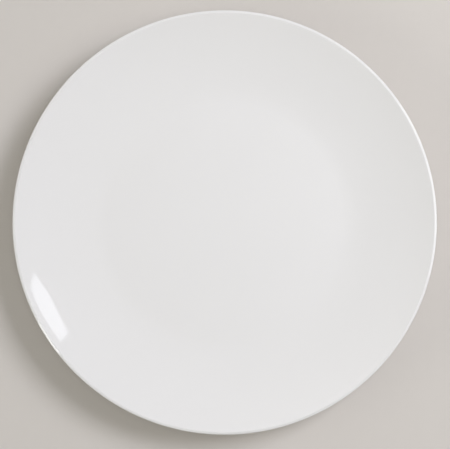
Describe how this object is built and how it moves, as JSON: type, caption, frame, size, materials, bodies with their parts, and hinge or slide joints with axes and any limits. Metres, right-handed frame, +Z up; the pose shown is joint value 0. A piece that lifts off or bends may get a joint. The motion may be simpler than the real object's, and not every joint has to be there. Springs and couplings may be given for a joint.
{
  "type": "salad plate",
  "caption": "Round white glazed china coupe plate with a flat well, a wall that curves up to a thin round lip, and a turned foot ring with a bare standing edge.",
  "frame": {"origin": "where the plate's axis meets the surface that it stands on", "axes": "+Z up along the plate's axis, out of its face; the plate is round, so X and Y are any two square directions along the table"},
  "size_m": [0.21, 0.21, 0.0225],
  "materials": {
    "biscuit_china": "matte",
    "white_glaze_face": "gloss",
    "white_glaze_recess": "gloss"
  },
  "bodies": {
    "root": {"china_body": "biscuit_china", "face_glaze": "white_glaze_face", "foot_recess_glaze": "white_glaze_recess"}
  },
  "joints": []
}
